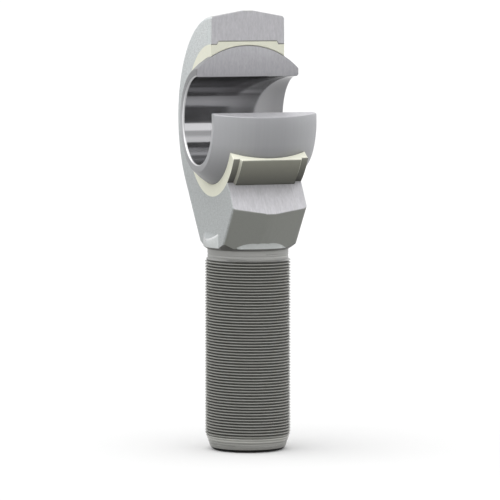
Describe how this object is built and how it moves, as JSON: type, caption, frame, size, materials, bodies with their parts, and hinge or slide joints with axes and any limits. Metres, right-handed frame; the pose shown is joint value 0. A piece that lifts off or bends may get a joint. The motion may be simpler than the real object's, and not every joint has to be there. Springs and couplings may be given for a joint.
{
  "type": "rod end",
  "caption": "Cut-away spherical rod end: forged eye with a male left-hand threaded shank, a moulded composite liner and a swivelling inner ring that takes a pin.",
  "frame": {"origin": "centre of the ball, on the axis of the bore", "axes": "+X along the bore, -Z along the shank to its end, -Y towards the open section"},
  "size_m": [0.025, 0.0424, 0.1014],
  "materials": {
    "housing_steel": "zinc-plated forging, satin, with brushed cut faces and a rolled thread",
    "liner_composite": "cream moulded fibre-filled composite, matt",
    "ring_steel": "hardened, ground and polished, with brushed cut faces"
  },
  "bodies": {
    "eye": {"housing": "housing_steel", "liner": "liner_composite"},
    "ring": {"inner_ring": "ring_steel"}
  },
  "joints": [
    {"name": "ring_swivel", "type": "hinge", "parent": "eye", "child": "ring", "pos_m": [0, 0, 0], "axis": [1, 0, 0], "continuous": true}
  ]
}
